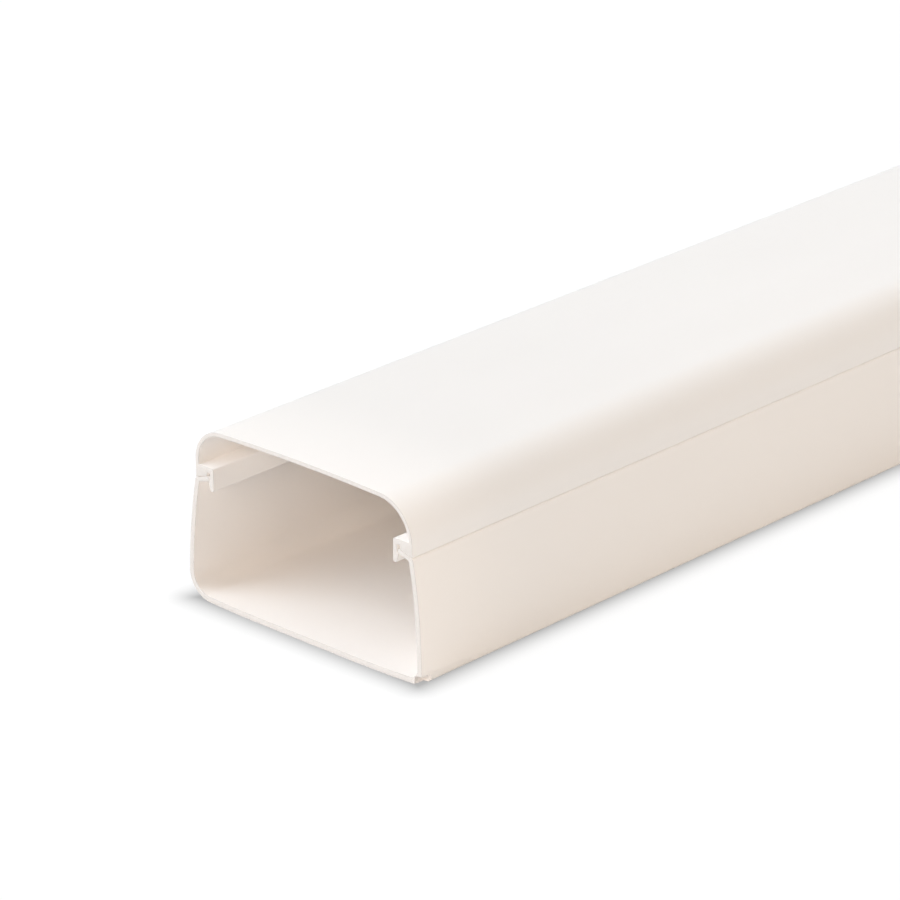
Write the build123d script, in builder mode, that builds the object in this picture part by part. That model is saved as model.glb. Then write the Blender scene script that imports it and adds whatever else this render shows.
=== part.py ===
from build123d import *
from math import acos, atan2, cos, degrees, radians, sin, tan
import os

# Plastic cable raceway in two extruded pieces: a base channel and the cover that snaps onto it.
# X runs across the raceway, Y along it and Z up from the mounting face.
# The origin lies on the mounting face, in the middle of the width and of the length.

# Driving dimensions, in millimetres and degrees
length = 1000.0
base_width = 100.0
overall_height = 60.0

# Base channel
base_wall = 1.8
flat_width = 40.0
floor_upturn = 3.0
foot_radius = 3.8
foot_fillet = 4.6
wall_lean = 3.4
shoulder_radius = 1.2
flange_slope = 18.0
flange_length = 5.5
flange_thickness = 1.5
flange_tip_radius = 0.7
flange_root_radius = 1.0

# Snap cover
cover_wall = 1.3
cover_step = 0.4
cover_radius = 12.5
crown_turn = 2.4
skirt_height = 5.9
web_rise = 5.5
web_thickness = 1.7
seat_width = 3.6
leg_thickness = 1.6
leg_drop = 2.2
leg_tip_thickness = 1.4
barb_reach = 0.65
hook_radius = 0.5
fit_gap = 0.12

# Corner that broke away where the saw came through, at the near right foot
breakout_width = 3.6
breakout_height = 4.4
breakout_depth = 5.5

half_width = base_width / 2
upturn = radians(floor_upturn)
slope = radians(flange_slope)
crown = radians(crown_turn)

# The cover's skirts stand in a little from the walls below them, under a crowned top
skirt_outside = half_width - wall_lean - cover_step
skirt_inside = skirt_outside - cover_wall
crown_end = skirt_outside - cover_radius * (1 - sin(crown))
crown_radius = crown_end / sin(crown)
skirt_top = overall_height - crown_radius * (1 - cos(crown)) - cover_radius * cos(crown)
wall_top = skirt_top - skirt_height

# The floor's outer strips curve up to the foot corners
floor_radius = (half_width - foot_radius * (1 - sin(upturn)) - flat_width / 2) / sin(upturn)
floor_centre = Vector(flat_width / 2, floor_radius)
foot_height = floor_radius * (1 - cos(upturn)) + foot_radius * cos(upturn)

# Each side wall is one arc that starts upright at the foot and leans in towards the top
wall_rise = wall_top - foot_height
wall_turn = 2 * atan2(wall_lean, wall_rise)
wall_radius = wall_rise / sin(wall_turn)
wall_centre = Vector(half_width - wall_radius, foot_height)
out_of_wall = Vector(cos(wall_turn), sin(wall_turn))
wall_top_outside = Vector(half_width - wall_lean, wall_top)
wall_top_inside = wall_top_outside - out_of_wall * base_wall

# A flange runs inwards and upwards from the rounded shoulder of each wall
inwards = Vector(-cos(slope), sin(slope))
upwards = Vector(sin(slope), cos(slope))
flange_start = wall_top_outside - out_of_wall * shoulder_radius + upwards * shoulder_radius
flange_tip = flange_start + inwards * flange_length
flange_root_under = flange_start - upwards * flange_thickness
flange_tip_under = flange_tip - upwards * flange_thickness
wall_run_on = flange_thickness / 2

# Each hook closes round a flange: a seat above it, a leg past its tip and a barb below it
web_top = wall_top + web_rise
leg_tip = wall_top - leg_drop
seat_end = skirt_inside - seat_width
leg_outside = flange_tip_under.X - fit_gap
leg_inside = leg_outside - leg_thickness
leg_tip_outside = leg_inside + leg_tip_thickness
barb_point = flange_tip_under.X + barb_reach


def foot_centre(inset, radius):
    """Centre of the arc that joins the floor strip to the wall, both set in by a distance."""
    to_wall = wall_centre - floor_centre
    from_floor = floor_radius - inset - radius
    from_wall = wall_radius - inset - radius
    turn = acos((from_floor**2 + to_wall.length**2 - from_wall**2) / (2 * from_floor * to_wall.length))
    heading = atan2(to_wall.Y, to_wall.X) + turn
    return floor_centre + Vector(cos(heading), sin(heading)) * from_floor


def along_flange(x, start, gap):
    """Height at x of a line along the flange, set off from a point on its face by a gap."""
    return start.Y + gap / cos(slope) + (start.X - x) * tan(slope)


def above_flange(x):
    return along_flange(x, flange_start, fit_gap)


def below_flange(x):
    return along_flange(x, flange_root_under, -fit_gap)


def round_corners(section, points, radius):
    """Round the corners nearest to the given points, and their mirror images."""
    for x, z in points:
        for side in (1, -1):
            corner = section.vertices().sort_by_distance((side * x, z))[0]
            fillet(corner, radius)


with BuildPart() as base_channel:
    with BuildSketch(Plane.XZ) as base_section:
        with BuildLine():
            for inset, corner_radius, wall_end in (
                (0, foot_radius, wall_top_outside),
                (base_wall, foot_fillet, wall_top_inside),
            ):
                centre = foot_centre(inset, corner_radius)
                strip_end = floor_centre + (centre - floor_centre).normalized() * (floor_radius - inset)
                wall_start = wall_centre + (centre - wall_centre).normalized() * (wall_radius - inset)
                flat = Line((0, inset), (flat_width / 2, inset))
                strip = TangentArc(flat @ 1, strip_end, tangent=flat % 1)
                foot = TangentArc(strip @ 1, wall_start, tangent=strip % 1)
                wall = TangentArc(foot @ 1, wall_end, tangent=foot % 1)
            wall_heading = (-out_of_wall.Y, out_of_wall.X)
            shoulder_turn = 90 - flange_slope - degrees(wall_turn)
            shoulder = JernArc(wall_top_outside, wall_heading, shoulder_radius, shoulder_turn)
            run_on_turn = degrees(wall_run_on / wall_radius)
            run_on = JernArc(wall @ 1, wall % 1, wall_radius - base_wall, run_on_turn)
            Line(shoulder @ 1, run_on @ 1)
            mirror(about=Plane.YZ)
        make_face()
        flange = Polygon(flange_start, flange_tip, flange_tip_under, flange_root_under, align=None)
        mirror(flange, about=Plane.YZ)
        round_corners(base_section, [(flange_tip.X, flange_tip.Y)], flange_tip_radius)
        round_corners(base_section, [(wall_top_inside.X, wall_top_inside.Y)], flange_root_radius)
    extrude(amount=length / 2, both=True)
    with BuildSketch(Plane.XY) as breakout:
        with BuildLine():
            Polyline(
                (half_width - breakout_width, -length / 2),
                (half_width, -length / 2),
                (half_width, -length / 2 + breakout_depth),
                (half_width - breakout_width, -length / 2 + breakout_depth / 2),
                close=True,
            )
        make_face()
    extrude(amount=breakout_height, mode=Mode.SUBTRACT)

with BuildPart() as snap_cover:
    with BuildSketch(Plane.XZ) as cover_section:
        with BuildLine():
            top = JernArc((0, overall_height), (1, 0), crown_radius, -crown_turn)
            corner = JernArc(top @ 1, top % 1, cover_radius, crown_turn - 90)
            ceiling_middle = (0, overall_height - cover_wall)
            ceiling = JernArc(ceiling_middle, (1, 0), crown_radius - cover_wall, -crown_turn)
            inner_corner = JernArc(ceiling @ 1, ceiling % 1, cover_radius - cover_wall, crown_turn - 90)
            Polyline(
                corner @ 1,
                (skirt_outside, above_flange(skirt_outside)),
                (seat_end, above_flange(seat_end)),
                (seat_end, web_top - web_thickness),
                (leg_outside, web_top - web_thickness),
                (leg_outside, below_flange(leg_outside)),
                (barb_point, below_flange(barb_point)),
                (leg_tip_outside, leg_tip),
                (leg_inside, leg_tip),
                (leg_inside, web_top),
                (skirt_inside, web_top),
                inner_corner @ 1,
            )
            mirror(about=Plane.YZ)
        make_face()
        hook_corners = [(leg_inside, web_top), (leg_inside, leg_tip), (leg_tip_outside, leg_tip)]
        round_corners(cover_section, hook_corners, hook_radius)
    extrude(amount=length / 2, both=True)

base_channel.part.label = "base_channel"
snap_cover.part.label = "snap_cover"
os.makedirs("parts", exist_ok=True)
export_step(base_channel.part, "parts/base_channel.step")
export_step(snap_cover.part, "parts/snap_cover.step")
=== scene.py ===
# %% [markdown]
# # A cable raceway that snaps shut
# The object is one metre of plastic cable raceway: a base channel that is screwed to a wall, and a
# rounded cover that snaps onto it. Both pieces are extruded, which means that hot plastic is pushed
# through a steel die, so every slice along the length is the same. This lesson draws each die opening
# once, sweeps it along a straight path, and then adds what makes it look real: the sawn ends, a broken
# corner, the satin of extruded PVC and soft studio light.

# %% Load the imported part
import bmesh
import bpy
from math import acos, atan2, cos, degrees, pi, radians, sin, sqrt, tan
from mathutils import Matrix, Vector, noise


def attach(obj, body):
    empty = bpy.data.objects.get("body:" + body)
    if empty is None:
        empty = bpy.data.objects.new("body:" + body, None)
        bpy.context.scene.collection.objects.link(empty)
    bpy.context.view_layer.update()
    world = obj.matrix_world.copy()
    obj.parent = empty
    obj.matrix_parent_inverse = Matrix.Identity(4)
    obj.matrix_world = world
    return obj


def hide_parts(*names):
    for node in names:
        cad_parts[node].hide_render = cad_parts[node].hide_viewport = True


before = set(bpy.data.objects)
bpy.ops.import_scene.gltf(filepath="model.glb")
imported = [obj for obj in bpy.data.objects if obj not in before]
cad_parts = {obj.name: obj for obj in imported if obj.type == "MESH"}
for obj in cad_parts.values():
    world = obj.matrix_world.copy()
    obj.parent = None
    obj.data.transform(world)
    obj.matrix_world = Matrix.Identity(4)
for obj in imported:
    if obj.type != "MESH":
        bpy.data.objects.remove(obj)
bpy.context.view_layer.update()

scene = bpy.context.scene

# %% [markdown]
# ## Sizes
# The CAD file draws the two sections from a few driving sizes. The same sizes are repeated here, in
# millimetres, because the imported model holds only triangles, which are too coarse for close reflections.
# Working in millimetres keeps the numbers readable. They become metres only when a curve is made. What
# is left of the height below the cover's corners and skirts gives the height of the base walls. The round
# corners of the feet and of the cover get radii of their own, where each section is drawn.

# %% Overall sizes, in millimetres and degrees
MM = 0.001
length = 1000.0
half_width = 50.0
overall_height = 60.0
wall_lean = 3.4
cover_wall = 1.3
cover_step = 0.4
cover_radius = 12.5
crown_turn = 2.4
skirt_height = 5.9

skirt_outside = half_width - wall_lean - cover_step
skirt_inside = skirt_outside - cover_wall
crown = radians(crown_turn)
crown_end = skirt_outside - cover_radius * (1 - sin(crown))
crown_radius = crown_end / sin(crown)
skirt_top = overall_height - crown_radius * (1 - cos(crown)) - cover_radius * cos(crown)
wall_top = skirt_top - skirt_height
print(f"The base walls end {wall_top:.2f} mm above the mounting face")

# %% [markdown]
# ## Drawing with arcs and rounded corners
# A die is cut with a wire that cannot turn a perfectly sharp corner, and hot plastic rounds itself a
# little more. Three helpers are enough to draw such an outline: one gives points along an arc, one takes
# a list of corners and replaces each with a small arc, and one joins two halves and mirrors the second. A
# Bezier curve could do the same, but points worked out by trigonometry stay exact and are easy to mirror.

# %% Arc and corner helpers
die_corner = 0.25
corner_steps = 6


def arc(centre, radius, start, end, steps):
    """Points along an arc about centre, from one angle to another, in degrees."""
    turns = [radians(start + (end - start) * i / steps) for i in range(steps + 1)]
    return [Vector((centre[0] + radius * cos(t), centre[1] + radius * sin(t))) for t in turns]


def rounded(corners):
    """An open outline through (point, radius) corners, each turned by an arc of its radius."""
    points = []
    for i, (corner, radius) in enumerate(corners):
        corner = Vector(corner)
        if radius == 0 or i in (0, len(corners) - 1):
            points.append(corner)
            continue
        back = (Vector(corners[i - 1][0]) - corner).normalized()
        ahead = (Vector(corners[i + 1][0]) - corner).normalized()
        half_angle = back.angle(ahead) / 2
        bisector = (back + ahead).normalized()
        centre = corner + bisector * (radius / sin(half_angle))
        first = corner + back * (radius / tan(half_angle)) - centre
        turn = (ahead * (radius / tan(half_angle)) + corner - centre).angle_signed(first)
        for step in range(corner_steps + 1):
            spin = Matrix.Rotation(turn * step / corner_steps, 2)
            points.append(centre + spin @ first)
    return points


def closed(right, left):
    """A closed outline from two halves, drawn on the right; the second is mirrored to the left."""
    return right + [Vector((-p.x, p.y)) for p in reversed(left[1:-1])]


sample = [((0, 0), 0), ((4, 0), die_corner), ((4, 3), 0)]
print("A bend rounded by", die_corner, "mm has", len(rounded(sample)), "points")

# %% [markdown]
# ## The base channel's outline
# The floor is flat in the middle and curves up a little towards the feet, so that the channel sits firmly
# on an uneven wall. Each side wall is one long arc that leans in, and an inward flange crowns it: that is
# the rail the cover snaps over. Stock warps a little as it cools: in the photograph the right foot is
# sharper than the left one, so each foot has its own radii. Each half is drawn on the right, from the
# middle of the underside, up and round the flange, and back along the inside.

# %% Floor and walls of the base channel
base_wall = 1.8
half_flat = 20.0
floor_upturn = 3.0
# This one radius places the floor strips and the walls, as in the CAD file
foot_radius = 3.8

upturn = radians(floor_upturn)
floor_radius = (half_width - foot_radius * (1 - sin(upturn)) - half_flat) / sin(upturn)
floor_centre = Vector((half_flat, floor_radius))
foot_height = floor_radius * (1 - cos(upturn)) + foot_radius * cos(upturn)
wall_rise = wall_top - foot_height
wall_turn = 2 * atan2(wall_lean, wall_rise)
wall_radius = wall_rise / sin(wall_turn)
wall_centre = Vector((half_width - wall_radius, foot_height))
print(f"The floor strips curve at {floor_radius:.0f} mm and the walls at {wall_radius:.0f} mm")

# %% Feet of the base channel
left_foot_radius = 9.0
left_foot_fillet = 7.2
right_foot_radius = 1.6
right_foot_fillet = 3.4
strip_steps = 8
foot_steps = 18
wall_steps = 14


def foot_centre(inset, radius):
    """Centre of the arc that joins the floor strip to the wall, both set in by a distance."""
    to_wall = wall_centre - floor_centre
    from_floor = floor_radius - inset - radius
    from_wall = wall_radius - inset - radius
    turn = acos((from_floor**2 + to_wall.length**2 - from_wall**2) / (2 * from_floor * to_wall.length))
    heading = atan2(to_wall.y, to_wall.x) + turn
    return floor_centre + Vector((cos(heading), sin(heading))) * from_floor


def base_side(inset, corner_radius):
    """The floor, foot and wall of one half, set in from the outside by a distance."""
    centre = foot_centre(inset, corner_radius)
    off_floor = centre - floor_centre
    off_wall = centre - wall_centre
    strip_end = degrees(atan2(off_floor.y, off_floor.x))
    wall_start = degrees(atan2(off_wall.y, off_wall.x))
    strip = arc(floor_centre, floor_radius - inset, -90, strip_end, strip_steps)
    foot = arc(centre, corner_radius, strip_end, wall_start, foot_steps)
    wall = arc(wall_centre, wall_radius - inset, wall_start, degrees(wall_turn), wall_steps)
    return [Vector((0, inset))] + strip + foot[1:] + wall[1:]


print("One side of the base, outside:", len(base_side(0, right_foot_radius)), "points")

# %% Flanges and the whole outline of the base channel
shoulder_radius = 1.2
shoulder_steps = 8
flange_slope = 18.0
flange_length = 5.5
flange_thickness = 1.5
flange_tip_radius = 0.7
flange_root_radius = 1.0

slope = radians(flange_slope)
inwards = Vector((-cos(slope), sin(slope)))
upwards = Vector((sin(slope), cos(slope)))
out_of_wall = Vector((cos(wall_turn), sin(wall_turn)))
wall_top_outside = Vector((half_width - wall_lean, wall_top))
shoulder_centre = wall_top_outside - out_of_wall * shoulder_radius
flange_start = shoulder_centre + upwards * shoulder_radius
flange_tip = flange_start + inwards * flange_length
flange_tip_under = flange_tip - upwards * flange_thickness
flange_root = wall_top_outside - out_of_wall * base_wall


def base_half(foot, fillet):
    """One half of the base, with the radius of its foot outside and of the fillet inside."""
    shoulder_end = 90 - flange_slope
    shoulder = arc(shoulder_centre, shoulder_radius, degrees(wall_turn), shoulder_end, shoulder_steps)
    inside = base_side(base_wall, fillet)[-2::-1]
    flange = rounded([
        (flange_start, 0),
        (flange_tip, flange_tip_radius),
        (flange_tip_under, die_corner),
        (flange_root, flange_root_radius),
        (inside[0], 0),
    ])
    return base_side(0, foot) + shoulder[1:] + flange[1:] + inside[1:]


right_half = base_half(right_foot_radius, right_foot_fillet)
left_half = base_half(left_foot_radius, left_foot_fillet)
base_outline = closed(right_half, left_half)
print("Base outline:", len(base_outline), "points, flange tip at", [round(v, 2) for v in flange_tip])

# %% [markdown]
# ## The snap cover's outline
# The cover is a thin crowned lid with big round corners, the right one rounder than the left one. Inside
# each short skirt a web carries a hooked leg. When the cover is pressed on, the barb on the leg springs
# past the tip of the flange and holds below it. All of its places come from the flange and one small
# clearance, just as a toolmaker would cut the pair to fit.

# %% Hooks of the snap cover
web_rise = 5.5
web_thickness = 1.7
seat_width = 3.6
leg_thickness = 1.6
leg_drop = 2.2
leg_tip_thickness = 1.4
barb_reach = 0.65
fit_gap = 0.12

web_top = wall_top + web_rise
leg_tip = wall_top - leg_drop
seat_end = skirt_inside - seat_width
leg_outside = flange_tip_under.x - fit_gap
leg_inside = leg_outside - leg_thickness
barb_point = flange_tip_under.x + barb_reach


def along_flange(x, start, gap):
    """Height at x of a line along the flange, set off from a point on its face by a gap."""
    return start.y + gap / cos(slope) + (start.x - x) * tan(slope)


def above_flange(x):
    """A point just above the flange."""
    return Vector((x, along_flange(x, flange_start, fit_gap)))


def below_flange(x):
    """A point just below the flange."""
    return Vector((x, along_flange(x, flange_start - upwards * flange_thickness, -fit_gap)))


print(f"The legs end {leg_tip:.2f} mm up, {leg_inside:.2f} mm from the middle")

# %% Whole outline of the snap cover
left_cover_radius = 11.0
right_cover_radius = 14.0
hook_radius = 0.5
barb_radius = 0.2
skirt_edge_radius = 0.15
crown_steps = 8
cover_corner_steps = 32


def cover_side(inset, radius):
    """The crowned top and round corner of one half, set in from the outside by a distance."""
    crown_height = overall_height - crown_radius
    across = skirt_outside - radius
    rise = sqrt((crown_radius - radius) ** 2 - across**2)
    turn = degrees(atan2(rise, across))
    top = arc((0, crown_height), crown_radius - inset, 90, turn, crown_steps)
    corner = arc((across, crown_height + rise), radius - inset, turn, 0, cover_corner_steps)
    return top + corner[1:]


def cover_half(radius):
    """One half of the cover, with the radius of its round corner."""
    outside = cover_side(0, radius)
    inside = [p for p in reversed(cover_side(cover_wall, radius)) if p.y > web_top + die_corner]
    hook = rounded([
        (outside[-1], 0),
        (above_flange(skirt_outside), skirt_edge_radius),
        (above_flange(seat_end), die_corner),
        ((seat_end, web_top - web_thickness), die_corner),
        ((leg_outside, web_top - web_thickness), die_corner),
        (below_flange(leg_outside), barb_radius),
        (below_flange(barb_point), barb_radius),
        ((leg_inside + leg_tip_thickness, leg_tip), hook_radius),
        ((leg_inside, leg_tip), hook_radius),
        ((leg_inside, web_top), hook_radius),
        ((skirt_inside, web_top), die_corner),
        (inside[0], 0),
    ])
    return outside + hook[1:] + inside[1:]


cover_outline = closed(cover_half(right_cover_radius), cover_half(left_cover_radius))
print("Cover outline:", len(cover_outline), "points")

# %% [markdown]
# ## Nodes with one helper
# Both the sweep and the materials are node trees. One function adds a node, sets its properties, fills in
# plain input values and links the rest, so that each line of a tree below reads like a sentence. Colours
# are written as they would be picked on a screen, and one function turns them into linear light.

# %% Node, colour and material helpers
def add_node(tree, kind, inputs=None, **settings):
    """Add a node, set its properties, then give each input a value or a link from another socket."""
    node = tree.nodes.new(kind)
    for name, value in settings.items():
        setattr(node, name, value)
    for name, value in (inputs or {}).items():
        socket = node.inputs[name]
        if isinstance(value, bpy.types.NodeSocket):
            tree.links.new(value, socket)
        else:
            socket.default_value = value
    return node


def linear(hex_colour):
    """An sRGB hex colour such as #F4ECE4 as linear RGBA."""
    parts = [int(hex_colour[i:i + 2], 16) / 255 for i in (1, 3, 5)]
    return [p / 12.92 if p <= 0.04045 else ((p + 0.055) / 1.055) ** 2.4 for p in parts] + [1.0]


def bare_material(name):
    """A material whose node tree is still empty."""
    material = bpy.data.materials.new(name)
    material.use_nodes = True
    material.node_tree.nodes.clear()
    return material


print("Middle grey #808080 in linear light:", round(linear("#808080")[0], 3))

# %% [markdown]
# ## Extruded rigid PVC
# Raceway is made of rigid PVC filled with chalk and white pigment, so it is opaque and a warm white. The
# die leaves faint lines along the length, and cooling leaves a very slow waviness. The eye reads the
# lines only as a matte sheen that is streaked in one direction. Noise that is stretched hundreds of times
# along Y gives those streaks. The real lines are about half a millimetre apart, and they are drawn about
# twice as coarse here so that they show. The base is written a shade lighter than the cover: that is
# painted light, standing for the light that the floor bounces onto the base.

# %% Material of the extruded faces
PVC_IOR = 1.53
# A shade lighter than the cover: painted light for the floor's bounce onto the base
base_colour_painted_lighter = "#F5F0EC"
cover_colour = "#F3EFEC"
skin_roughness = (0.58, 0.68)
skin_tint = (0.985, 1.0)
die_line_spacing = 1.2
die_line_stretch = 500
die_line_depth = 0.1
die_line_strength = 0.06
wave_length = 90.0
wave_depth = 2.0
wave_strength = 0.10
# Nearly all values of a noise texture lie in this span
noise_span = {"From Min": 0.3, "From Max": 0.7}


def extruded_pvc(name, hex_colour):
    """Matte warm white PVC with streaks along Y, as it leaves the die."""
    material = bare_material(name)
    tree = material.node_tree
    place = add_node(tree, "ShaderNodeTexCoord").outputs["Object"]
    along = add_node(tree, "ShaderNodeMapping", {"Vector": place, "Scale": (1, 1 / die_line_stretch, 1)})
    lines = add_node(tree, "ShaderNodeTexNoise", {
        "Vector": along.outputs["Vector"], "Scale": 1 / (die_line_spacing * MM), "Detail": 2.0})
    slow = add_node(tree, "ShaderNodeTexNoise", {
        "Vector": place, "Scale": 1 / (wave_length * MM), "Detail": 1.0})
    tint = add_node(tree, "ShaderNodeMapRange", {
        "Value": slow.outputs["Fac"], **noise_span, "To Min": skin_tint[0], "To Max": skin_tint[1]})
    colour = add_node(tree, "ShaderNodeMix", {
        "Factor": 1.0, "A": linear(hex_colour), "B": tint.outputs["Result"]},
        data_type="RGBA", blend_type="MULTIPLY")
    gloss = add_node(tree, "ShaderNodeMapRange", {
        "Value": lines.outputs["Fac"], **noise_span,
        "To Min": skin_roughness[0], "To Max": skin_roughness[1]})
    wavy = add_node(tree, "ShaderNodeBump", {
        "Height": slow.outputs["Fac"], "Strength": wave_strength, "Distance": wave_depth * MM})
    streaked = add_node(tree, "ShaderNodeBump", {
        "Height": lines.outputs["Fac"], "Normal": wavy.outputs["Normal"],
        "Strength": die_line_strength, "Distance": die_line_depth * MM})
    plastic = add_node(tree, "ShaderNodeBsdfPrincipled", {
        "Base Color": colour.outputs["Result"], "Roughness": gloss.outputs["Result"], "IOR": PVC_IOR,
        "Normal": streaked.outputs["Normal"]})
    add_node(tree, "ShaderNodeOutputMaterial", {"Surface": plastic.outputs["BSDF"]})
    return material


base_pvc = extruded_pvc("extruded_pvc_base", base_colour_painted_lighter)
cover_pvc = extruded_pvc("extruded_pvc_cover", cover_colour)
print("Base PVC in linear light:", [round(v, 3) for v in linear(base_colour_painted_lighter)[:3]])

# %% [markdown]
# ## Sawn and broken PVC
# A fine-toothed saw tears the plastic a little, so a cut end is duller than the skin and shows close,
# slightly curved scratches. Its colour is written darker than the skin: that is painted shade, which takes
# back some of the strong front light on the ends, so in full front light the cut still shows as a pale
# rim.
# A wave texture in rings about a far point stands for the arcs of a circular blade. The teeth leave a mark
# about every third of a millimetre, drawn twice as coarse here. Where a corner broke off, the plastic was
# stretched white before it tore, so that face is paler than the saw cut. It is still written darker than
# the skin, and that is painted shade in the hollow of the chip.

# %% Material of the sawn and broken faces
# Darker than the skin: painted shade against the strong front light on the sawn ends
sawn_colour_painted_darker = "#CECAC7"
# Paler than the saw cut but darker than the skin: painted shade in the hollow of the chip
broken_colour_painted_darker = "#E4DFDC"
sawn_roughness = 0.75
sawn_tint = (0.95, 1.0)
grain_size = 0.8
saw_mark_spacing = 0.7
saw_mark_depth = 0.05
saw_mark_strength = 0.35
blade_centre = (-130.0, 0.0, -50.0)
# At a scale of 1 the wave node turns through 20 radians in a metre
wave_node_turn = 20
ring_scale = 2 * pi / wave_node_turn / (saw_mark_spacing * MM)


def sawn_pvc(name, hex_colour):
    """Dull PVC with fine saw scratches, for cut ends and broken faces."""
    material = bare_material(name)
    tree = material.node_tree
    place = add_node(tree, "ShaderNodeTexCoord").outputs["Object"]
    from_blade = [-where * MM for where in blade_centre]
    blade = add_node(tree, "ShaderNodeMapping", {
        "Vector": place, "Location": from_blade, "Scale": (1, 0, 1)})
    marks = add_node(tree, "ShaderNodeTexWave", {
        "Vector": blade.outputs["Vector"], "Scale": ring_scale,
        "Distortion": 2.0, "Detail": 2.0, "Detail Scale": 3.0},
        wave_type="RINGS", rings_direction="SPHERICAL")
    grain = add_node(tree, "ShaderNodeTexNoise", {
        "Vector": place, "Scale": 1 / (grain_size * MM), "Detail": 3.0})
    tint = add_node(tree, "ShaderNodeMapRange", {
        "Value": grain.outputs["Fac"], **noise_span, "To Min": sawn_tint[0], "To Max": sawn_tint[1]})
    colour = add_node(tree, "ShaderNodeMix", {
        "Factor": 1.0, "A": linear(hex_colour), "B": tint.outputs["Result"]},
        data_type="RGBA", blend_type="MULTIPLY")
    scratched = add_node(tree, "ShaderNodeBump", {
        "Height": marks.outputs["Fac"], "Strength": saw_mark_strength, "Distance": saw_mark_depth * MM})
    plastic = add_node(tree, "ShaderNodeBsdfPrincipled", {
        "Base Color": colour.outputs["Result"], "Roughness": sawn_roughness, "IOR": PVC_IOR,
        "Normal": scratched.outputs["Normal"]})
    add_node(tree, "ShaderNodeOutputMaterial", {"Surface": plastic.outputs["BSDF"]})
    return material


cut_pvc = sawn_pvc("sawn_pvc_end", sawn_colour_painted_darker)
broken_pvc = sawn_pvc("broken_pvc_corner", broken_colour_painted_darker)
print("Saw marks every", saw_mark_spacing, "mm, at a wave scale of", round(ring_scale))

# %% [markdown]
# ## Sweeping the outline along the length
# Geometry Nodes do what the extruder does. Curve to Mesh carries the outline along a straight line and
# closes both ends. The faces that look along the path are the sawn ends, so they get their own material.
# The tree is shared by both pieces: only the outline and the material differ.

# %% Geometry Nodes tree of the extruder
sections_along = 24
# A face whose normal has more than this along Y, either way, is a sawn end
end_facing = 0.9


def extruder_tree():
    """A node tree that sweeps an outline curve along Y, with named inputs for its sizes."""
    tree = bpy.data.node_groups.new("extruder", "GeometryNodeTree")
    tree.is_modifier = True
    for name, kind, way in (
        ("Geometry", "NodeSocketGeometry", "INPUT"),
        ("Length", "NodeSocketFloat", "INPUT"),
        ("Sections", "NodeSocketInt", "INPUT"),
        ("Skin", "NodeSocketMaterial", "INPUT"),
        ("Cut end", "NodeSocketMaterial", "INPUT"),
        ("Geometry", "NodeSocketGeometry", "OUTPUT"),
    ):
        tree.interface.new_socket(name, in_out=way, socket_type=kind)
    given = add_node(tree, "NodeGroupInput").outputs
    half = add_node(tree, "ShaderNodeMath", {0: given["Length"], 1: 0.5}, operation="MULTIPLY").outputs[0]
    behind = add_node(tree, "ShaderNodeMath", {0: half, 1: -1.0}, operation="MULTIPLY").outputs[0]
    near = add_node(tree, "ShaderNodeCombineXYZ", {"Y": behind}).outputs[0]
    far = add_node(tree, "ShaderNodeCombineXYZ", {"Y": half}).outputs[0]
    path = add_node(tree, "GeometryNodeCurvePrimitiveLine", {"Start": near, "End": far})
    stepped = add_node(tree, "GeometryNodeResampleCurve", {
        "Curve": path.outputs[0], "Count": given["Sections"]})
    swept = add_node(tree, "GeometryNodeCurveToMesh", {
        "Curve": stepped.outputs[0], "Profile Curve": given["Geometry"], "Fill Caps": True})
    solid = add_node(tree, "GeometryNodeRealizeInstances", {"Geometry": swept.outputs[0]})
    normal = add_node(tree, "GeometryNodeInputNormal").outputs[0]
    facing = add_node(tree, "ShaderNodeSeparateXYZ", {0: normal}).outputs["Y"]
    sideways = add_node(tree, "ShaderNodeMath", {0: facing}, operation="ABSOLUTE").outputs[0]
    is_end = add_node(tree, "FunctionNodeCompare", {0: sideways, 1: end_facing}, operation="GREATER_THAN")
    skin = add_node(tree, "GeometryNodeSetMaterial", {
        "Geometry": solid.outputs[0], "Material": given["Skin"]})
    ends = add_node(tree, "GeometryNodeSetMaterial", {
        "Geometry": skin.outputs[0], "Selection": is_end.outputs[0], "Material": given["Cut end"]})
    add_node(tree, "NodeGroupOutput", {"Geometry": ends.outputs[0]})
    return tree


extruder = extruder_tree()
print("Extruder tree:", len(extruder.nodes), "nodes")

# %% [markdown]
# ## From outline to piece
# The outline becomes a closed curve, the tree sweeps it, and the result is turned into a plain mesh. On a
# path along Y the sweep points the outline's second axis downwards, so heights are drawn negative.

# %% Extrude the two pieces
def extrude_piece(name, outline, skin):
    """Sweep a closed outline into a solid piece, as a plain mesh object."""
    curve = bpy.data.curves.new(name + "_outline", "CURVE")
    curve.dimensions = "3D"
    spline = curve.splines.new("POLY")
    spline.points.add(len(outline) - 1)
    for point, place in zip(spline.points, outline):
        point.co = (place.x * MM, -place.y * MM, 0, 1)
    spline.use_cyclic_u = True
    drawing = bpy.data.objects.new(name + "_outline", curve)
    scene.collection.objects.link(drawing)

    sweep = drawing.modifiers.new("extruder", "NODES")
    sweep.node_group = extruder
    values = {"Length": length * MM, "Sections": sections_along, "Skin": skin, "Cut end": cut_pvc}
    for item in extruder.interface.items_tree:
        if item.in_out == "INPUT" and item.name in values:
            sweep[item.identifier] = values[item.name]

    bpy.context.view_layer.update()
    evaluated = drawing.evaluated_get(bpy.context.evaluated_depsgraph_get())
    mesh = bpy.data.meshes.new_from_object(evaluated)
    bpy.data.objects.remove(drawing)
    mesh.name = name
    piece = bpy.data.objects.new(name, mesh)
    scene.collection.objects.link(piece)
    return piece


base = extrude_piece("base_channel_extrusion", base_outline, base_pvc)
cover = extrude_piece("snap_cover_extrusion", cover_outline, cover_pvc)
for piece in (base, cover):
    print(piece.name, "has", len(piece.data.polygons), "faces")

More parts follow.
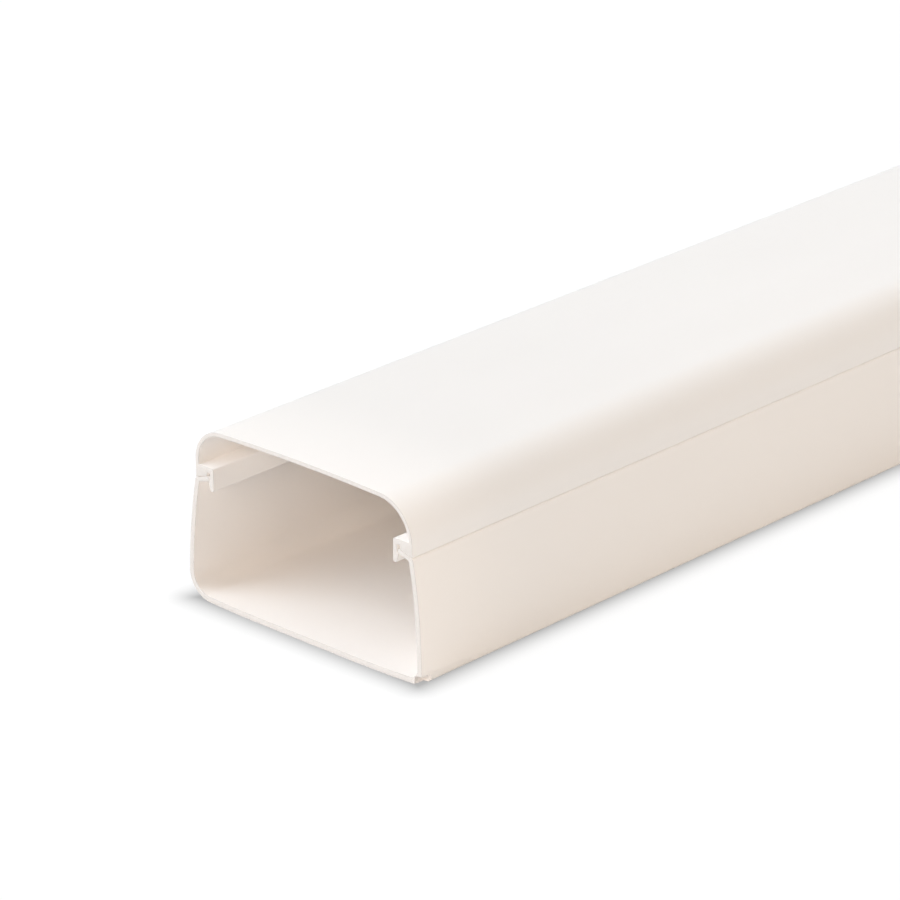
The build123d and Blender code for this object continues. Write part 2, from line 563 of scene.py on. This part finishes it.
# %% [markdown]
# ## Rims of the sawn ends
# A saw never leaves a razor edge, so the rim of each end is bevelled by about an eighth of a millimetre.
# The bevel is part of the cut and gets the sawn material. The end faces are many-sided and far from
# convex, so they are split into triangles, which every other program reads in the same way.

# %% Bevel the rims
rim_bevel = 0.12
rim_segments = 2
merge_distance = 1e-7


def end_faces(build):
    """The faces that look along the length."""
    return [face for face in build.faces if abs(face.normal.y) > end_facing]


def bevel_ends(piece):
    """Take the sharp edge off the rim of both sawn ends."""
    build = bmesh.new()
    build.from_mesh(piece.data)
    bmesh.ops.remove_doubles(build, verts=build.verts, dist=merge_distance)
    bmesh.ops.recalc_face_normals(build, faces=build.faces)
    rim = list({edge for face in end_faces(build) for edge in face.edges})
    bmesh.ops.bevel(
        build, geom=rim, offset=rim_bevel * MM, segments=rim_segments, profile=0.5, affect="EDGES",
        material=piece.data.materials.find(cut_pvc.name))
    bmesh.ops.triangulate(build, faces=end_faces(build))
    volume = build.calc_volume(signed=True) / MM**3
    open_edges = sum(not edge.is_manifold for edge in build.edges)
    print(f"{piece.name}: {volume:.0f} cubic millimetres, {open_edges} open edges")
    build.to_mesh(piece.data)
    build.free()


for piece in (base, cover):
    bevel_ends(piece)
    corners = [vertex.co for vertex in piece.data.vertices]
    lows = [round(min(c[axis] for c in corners) / MM, 2) for axis in range(3)]
    highs = [round(max(c[axis] for c in corners) / MM, 2) for axis in range(3)]
    print(piece.name, len(piece.data.polygons), "faces, from", lows, "to", highs, "mm")

# %% [markdown]
# ## The chipped foot
# Where the saw came through, a corner of the near right foot broke off. A thin edge of rigid PVC is
# brittle and breaks in steps with a rough face. A rounded block with a little noise on it, whose middle
# lies just outside the corner, leaves such a step when it is taken away with a Boolean. The noise comes
# from a fixed function, so the chip is the same every time.

# %% Break the corner off
chip_offset = 0.6
chip_centre = Vector((half_width + chip_offset, -length / 2, -chip_offset))
chip_radii = (3.6, 4.0, 4.4)
chip_squareness = 6.0
chip_fineness = 5
# Height and size of the coarse and the fine lumps
chip_lumps = ((0.35, 2.0), (0.12, 0.6))


def rough_block(name, centre, radii, squareness, lumps):
    """A rounded block whose surface is lifted by noise, given as pairs of height and lump size."""
    build = bmesh.new()
    bmesh.ops.create_icosphere(build, subdivisions=chip_fineness, radius=1.0)
    for vertex in build.verts:
        outwards = vertex.co.normalized()
        reach = sum(abs(v) ** squareness for v in outwards) ** (1 / squareness)
        place = centre + Matrix.Diagonal(radii) @ (outwards / reach)
        lift = sum(height * noise.noise(place / size) for height, size in lumps)
        vertex.co = (place + outwards * lift) * MM
    mesh = bpy.data.meshes.new(name)
    build.to_mesh(mesh)
    build.free()
    mesh.materials.append(broken_pvc)
    block = bpy.data.objects.new(name, mesh)
    scene.collection.objects.link(block)
    return block


def take_away(piece, cutter):
    """Cut one object out of another, keep the result as a plain mesh and delete the cutter."""
    cut = piece.modifiers.new("cut", "BOOLEAN")
    cut.operation = "DIFFERENCE"
    cut.solver = "EXACT"
    cut.material_mode = "TRANSFER"
    cut.object = cutter
    bpy.context.view_layer.update()
    evaluated = piece.evaluated_get(bpy.context.evaluated_depsgraph_get())
    mesh = bpy.data.meshes.new_from_object(evaluated)
    piece.modifiers.remove(cut)
    piece.data = mesh
    bpy.data.objects.remove(cutter)


faces_before = len(base.data.polygons)
take_away(base, rough_block("chip", chip_centre, chip_radii, chip_squareness, chip_lumps))
print("The chip added", len(base.data.polygons) - faces_before, "faces")
print("Materials of the base:", base.data.materials.keys())

# %% [markdown]
# ## Smooth sides and sharp corners
# The long faces are meant to look curved, so they are shaded smooth. Where two faces meet at more than
# thirty degrees the edge is marked sharp, which keeps the sawn ends flat.

# %% Shade the pieces
crease_angle = 30

for piece in (base, cover):
    piece.data.shade_smooth()
    piece.data.set_sharp_from_angle(angle=radians(crease_angle))
    sharp = sum(edge.use_edge_sharp for edge in piece.data.edges)
    print(piece.name, "has", sharp, "sharp edges of", len(piece.data.edges))

# %% [markdown]
# ## Joining the pieces to the imported part
# Each extrusion takes the place of its CAD node: it rides on the same body, so the cover still slides.

# %% Join the pieces to the imported part
for piece, body, node, slot in (
    (base, "base", "base_channel", "base_pvc"),
    (cover, "cover", "snap_cover", "cover_pvc"),
):
    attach(piece, body)
    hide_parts(node)
    print(piece.name, "rides on", body, "and replaces", node)

# %% [markdown]
# ## Floor
# Product photographs of white goods are taken on white paper. The paper is then cut out to pure white, and
# only a soft contact shadow is left round the foot. For the light the floor is plain white paper, so it
# bounces light up the sides. For the camera it glows white, with a little real shading left in, and the
# glow fades towards the part's footprint: that is a painted contact shadow. How far a point of the floor
# lies past a rectangle gives that distance, so the painted shadow needs no extra rays.

# %% Paper of the floor
paper_colour = "#F2F2F2"
shading_colour = "#464646"
paper_glow = 0.96
painted_shadow_depth = 0.55
painted_shadow_falloff = 2.0
painted_shadow_reach = 12.0
# How far the footprint lies in from the sides and from the ends
painted_shadow_inset = (2.3, 0.8)


def paper(name):
    """White paper that lights the part, and runs out to white with a painted contact shadow for the
    camera.
    """
    material = bare_material(name)
    tree = material.node_tree
    lit = add_node(tree, "ShaderNodeBsdfDiffuse", {"Color": linear(paper_colour)})
    shaded = add_node(tree, "ShaderNodeBsdfDiffuse", {"Color": linear(shading_colour)})
    place = add_node(tree, "ShaderNodeTexCoord").outputs["Object"]
    away = add_node(tree, "ShaderNodeVectorMath", {0: place}, operation="ABSOLUTE").outputs[0]
    footprint = ((half_width - painted_shadow_inset[0]) * MM, (length / 2 - painted_shadow_inset[1]) * MM, 0)
    past = add_node(tree, "ShaderNodeVectorMath", {0: away, 1: footprint}, operation="SUBTRACT")
    outside = add_node(tree, "ShaderNodeVectorMath", {
        0: past.outputs[0], 1: (0, 0, 0)}, operation="MAXIMUM")
    distance = add_node(tree, "ShaderNodeVectorMath", {0: outside.outputs[0]}, operation="LENGTH")
    near = add_node(tree, "ShaderNodeMapRange", {
        "Value": distance.outputs["Value"], "From Min": 0.0, "From Max": painted_shadow_reach * MM,
        "To Min": 1.0, "To Max": 0.0})
    # Painted contact shadow: the camera glow darkens the closer the floor lies to the footprint
    shadow = add_node(tree, "ShaderNodeMath", {
        0: near.outputs["Result"], 1: painted_shadow_falloff}, operation="POWER")
    glow = add_node(tree, "ShaderNodeMath", {
        0: shadow.outputs[0], 1: -paper_glow * painted_shadow_depth, 2: paper_glow}, operation="MULTIPLY_ADD")
    light = add_node(tree, "ShaderNodeEmission", {"Strength": glow.outputs[0]})
    shown = add_node(tree, "ShaderNodeAddShader", {0: shaded.outputs[0], 1: light.outputs[0]})
    seen = add_node(tree, "ShaderNodeLightPath")
    either = add_node(tree, "ShaderNodeMixShader", {
        0: seen.outputs["Is Camera Ray"], 1: lit.outputs[0], 2: shown.outputs[0]})
    add_node(tree, "ShaderNodeOutputMaterial", {"Surface": either.outputs[0]})
    return material


white_paper = paper("white_paper")
print("The contact shadow ends", painted_shadow_reach, "mm from the footprint")

# %% Floor
floor_size = 12.0

reach = floor_size / 2
floor_corners = [(-reach, -reach, 0), (reach, -reach, 0), (reach, reach, 0), (-reach, reach, 0)]
floor_mesh = bpy.data.meshes.new("floor")
floor_mesh.from_pydata(floor_corners, [], [(0, 1, 2, 3)])
floor_mesh.materials.append(white_paper)
floor = bpy.data.objects.new("floor", floor_mesh)
scene.collection.objects.link(floor)
print("Floor:", floor_size, "m wide")

# %% [markdown]
# ## Backdrop
# The backdrop is white where it is seen, straight on, in a reflection or through something clear, and dark
# for every other ray, so that only the lamps and their bounces light the part.

# %% Backdrop
world = bpy.data.worlds.new("backdrop")
scene.world = world
world.use_nodes = True
tree = world.node_tree
tree.nodes.clear()
seen = add_node(tree, "ShaderNodeLightPath").outputs
mirrored_or_seen = add_node(tree, "ShaderNodeMath", {
    0: seen["Is Camera Ray"], 1: seen["Is Glossy Ray"]}, operation="MAXIMUM")
shows = add_node(tree, "ShaderNodeMath", {
    0: mirrored_or_seen.outputs[0], 1: seen["Is Transmission Ray"]}, operation="MAXIMUM")
backdrop = add_node(tree, "ShaderNodeBackground", {"Color": (1, 1, 1, 1), "Strength": shows.outputs[0]})
add_node(tree, "ShaderNodeOutputWorld", {"Surface": backdrop.outputs[0]})
print("Backdrop:", len(tree.nodes), "nodes")

# %% [markdown]
# ## Lamps
# Wide suns stand for big softboxes: the light is soft, and just as strong at the far end as at the near
# end. A low warm light from the front right reaches into the channel, and with a weaker one at the right
# it tints the right side, as in the photograph. Cooler lights from the left and from above keep the top a
# neutral white, and two weak lights behind fill the far end.

# %% Lamps
lamp_spread = 35


def place_light(name, azimuth, elevation, strength, colour):
    """A wide sun, turned from the near end towards the right and then raised, in degrees."""
    turn = radians(azimuth)
    level = cos(radians(elevation))
    source = Vector((sin(turn) * level, -cos(turn) * level, sin(radians(elevation))))
    light = bpy.data.lights.new(name, "SUN")
    light.energy = strength
    light.angle = radians(lamp_spread)
    light.color = colour
    lamp = bpy.data.objects.new(name, light)
    lamp.rotation_euler = source.to_track_quat("Z", "Y").to_euler()
    scene.collection.objects.link(lamp)


place_light("left", -40, 38, 1.02, (0.86, 0.935, 1.0))
place_light("front_left", -20, 20, 1.04, (0.84, 0.92, 1.0))
place_light("front_right", 22, 20, 1.84, (1.0, 0.85, 0.71))
place_light("right", 110, 38, 0.97, (1.0, 0.965, 0.91))
place_light("high_left", -60, 60, 0.90, (0.85, 0.93, 1.0))
place_light("back_left", -150, 38, 0.46, (0.92, 0.97, 1.0))
place_light("back", 180, 5, 0.60, (1.0, 1.0, 1.0))
print("Lamps:", sorted(lamp.name for lamp in bpy.data.lights))

# %% [markdown]
# ## Camera
# The photograph was taken with a long lens. The camera's place was worked out from the vanishing points of
# the long edges and a fit of the section to the cut end.

# %% Camera
camera_azimuth = radians(42.926)
camera_elevation = radians(22.56)
focal_pixels = 4552.0
image_pixels = 900
near_end = -length / 2 * MM
camera_place = Vector((0.8997, near_end - 0.9010, 0.5925))

lens = bpy.data.cameras.new("camera")
lens.sensor_width = 36.0
lens.lens = focal_pixels / image_pixels * lens.sensor_width
lens.clip_start = 0.05
lens.clip_end = 50.0
camera = bpy.data.objects.new("camera", lens)
scene.collection.objects.link(camera)
back = Vector((
    sin(camera_azimuth) * cos(camera_elevation),
    -cos(camera_azimuth) * cos(camera_elevation),
    sin(camera_elevation),
))
right = Vector((cos(camera_azimuth), sin(camera_azimuth), 0))
up = back.cross(right)
axes = Matrix((right, up, back)).transposed().to_4x4()
camera.matrix_world = Matrix.Translation(camera_place) @ axes
scene.camera = camera
scene.view_settings.view_transform = "Standard"
print(f"Lens {lens.lens:.1f} mm, {camera_place.length:.2f} m from the middle of the part")
